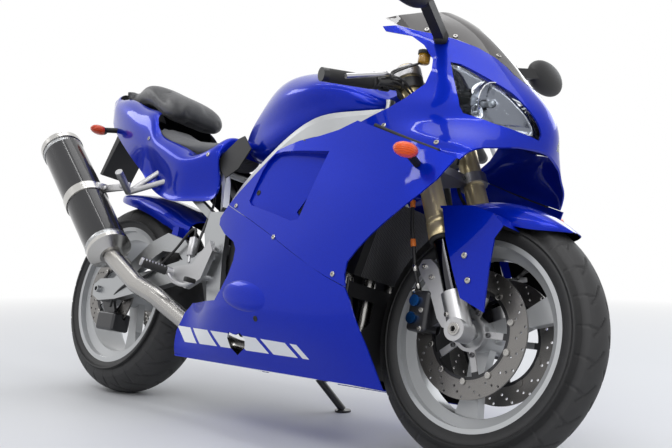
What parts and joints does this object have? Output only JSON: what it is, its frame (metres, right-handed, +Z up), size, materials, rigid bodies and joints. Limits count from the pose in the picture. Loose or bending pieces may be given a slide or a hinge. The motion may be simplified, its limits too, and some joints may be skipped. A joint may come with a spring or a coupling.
{
  "type": "sport motorcycle",
  "caption": "Faired sport motorcycle with inverted fork, twin-spar frame, chain drive and round silencer, leaning on its side stand.",
  "frame": {"origin": "centre of the bounding box footprint on the floor", "axes": "+X points forward, +Y to the left of the rider, +Z up from the floor; the machine leans 14 degrees to the left"},
  "size_m": [2.0347, 0.8344, 1.1548],
  "materials": {
    "tyre": "matt",
    "wheel_paint": "satin",
    "disc_steel": "brushed",
    "sprocket_steel": "satin",
    "chain_steel": "satin",
    "engine_metal": "satin",
    "exhaust_steel": "satin",
    "silencer_shell": "gloss",
    "fork_alloy": "satin",
    "fork_gold": "gloss",
    "caliper_paint": "satin",
    "black_plastic": "matt",
    "body_paint": "gloss",
    "soft_rubber": "matt",
    "black_metal": "satin",
    "clear_lens": "gloss",
    "smoked_screen": "gloss",
    "frame_alloy": "satin",
    "seat_dark": "matt",
    "seat_grey": "matt",
    "radiator_alloy": "satin",
    "red_lens": "gloss",
    "amber_lens": "gloss",
    "hose_braid": "braided"
  },
  "bodies": {
    "chassis": {"drive_chain": "chain_steel", "engine": "engine_metal", "exhaust_headers": "exhaust_steel", "exhaust_mid_pipe": "exhaust_steel", "fairing_stays": "black_metal", "footrests": "black_metal", "front_duct": "black_plastic", "fuel_cap": "fork_alloy", "fuel_tank": "body_paint", "headlamps": "clear_lens", "instrument_pod": "black_plastic", "lower_fairing_left": "body_paint", "lower_fairing_right": "body_paint", "main_frame": "frame_alloy", "mirrors": "black_plastic", "passenger_seat": "seat_dark", "radiator": "radiator_alloy", "rear_caliper": "caliper_paint", "rear_hugger": "black_plastic", "rear_shock": "black_metal", "rider_seat": "seat_grey", "side_covers": "black_plastic", "side_fairing_left": "body_paint", "side_fairing_right": "body_paint", "silencer": "silencer_shell", "subframe": "black_metal", "swingarm": "frame_alloy", "tail_cowl": "body_paint", "tail_light": "red_lens", "turn_signals": "amber_lens", "undertail": "black_plastic", "upper_cowl": "body_paint", "windscreen": "smoked_screen"},
    "steering": {"fork_outer_tubes": "fork_gold", "fork_legs": "fork_alloy", "fork_clamps": "fork_alloy", "handlebars": "black_metal", "grips": "soft_rubber", "front_fender": "body_paint", "front_calipers": "caliper_paint", "brake_hoses": "hose_braid"},
    "front_wheel": {"front_tyre": "tyre", "front_rim": "wheel_paint", "front_discs": "disc_steel"},
    "rear_wheel": {"rear_tyre": "tyre", "rear_rim": "wheel_paint", "rear_disc": "disc_steel", "rear_sprocket": "sprocket_steel"},
    "side_stand": {"side_stand": "black_metal"}
  },
  "joints": [
    {"name": "steering", "type": "hinge", "parent": "chassis", "child": "steering", "pos_m": [0.81014, -0.21223, 0.00176], "axis": [-0.406, 0.221, 0.8868], "range_deg": [-27, 27]},
    {"name": "front_wheel_spin", "type": "hinge", "parent": "steering", "child": "front_wheel", "pos_m": [0.71839, -0.1399, 0.29196], "axis": [-0.0002, 0.9703, -0.2419], "continuous": true},
    {"name": "rear_wheel_spin", "type": "hinge", "parent": "chassis", "child": "rear_wheel", "pos_m": [-0.6766, -0.13699, 0.30479], "axis": [-0.0002, 0.9703, -0.2419], "continuous": true},
    {"name": "side_stand_fold", "type": "hinge", "parent": "chassis", "child": "side_stand", "pos_m": [-0.01967, -0.01703, 0.16484], "axis": [0.1893, 0.8233, 0.5352], "range_deg": [0, 93]}
  ]
}
